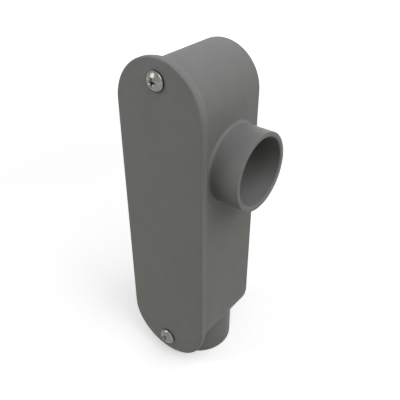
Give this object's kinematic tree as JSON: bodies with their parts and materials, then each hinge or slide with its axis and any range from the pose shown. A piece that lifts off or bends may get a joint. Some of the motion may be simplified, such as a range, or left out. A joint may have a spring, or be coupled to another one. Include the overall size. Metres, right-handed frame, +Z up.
{
  "type": "conduit body",
  "caption": "Rigid plastic conduit body with a socket hub at its foot, a socket hub on its right side and a gasketed cover held by screws.",
  "frame": {"origin": "centre of the end hub's stop shoulder, where the end of the conduit seats", "axes": "+Z up the end hub's axis into the body, +X out of the side hub, -Y out of the cover"},
  "size_m": [0.0608, 0.0512, 0.1788],
  "materials": {
    "body_plastic": "moulded, fine matte",
    "cover_plastic": "moulded, fine matte",
    "gasket_foam": "closed-cell foam, matte",
    "screw_steel": "bright zinc plate",
    "insert_brass": "turned brass"
  },
  "bodies": {
    "body": {"conduit_body": "body_plastic", "threaded_insert_upper": "insert_brass", "threaded_insert_lower": "insert_brass"},
    "cover_assembly": {"cover": "cover_plastic", "cover_gasket": "gasket_foam"},
    "upper_screw": {"cover_screw_upper": "screw_steel"},
    "lower_screw": {"cover_screw_lower": "screw_steel"}
  },
  "joints": [
    {"name": "cover_lift", "type": "slide", "parent": "body", "child": "cover_assembly", "axis": [0, -1, 0], "range_m": [0, 0.06]},
    {"name": "upper_screw_out", "type": "slide", "parent": "cover_assembly", "child": "upper_screw", "axis": [0, -1, 0], "range_m": [0, 0.014]},
    {"name": "lower_screw_out", "type": "slide", "parent": "cover_assembly", "child": "lower_screw", "axis": [0, -1, 0], "range_m": [0, 0.014]}
  ]
}
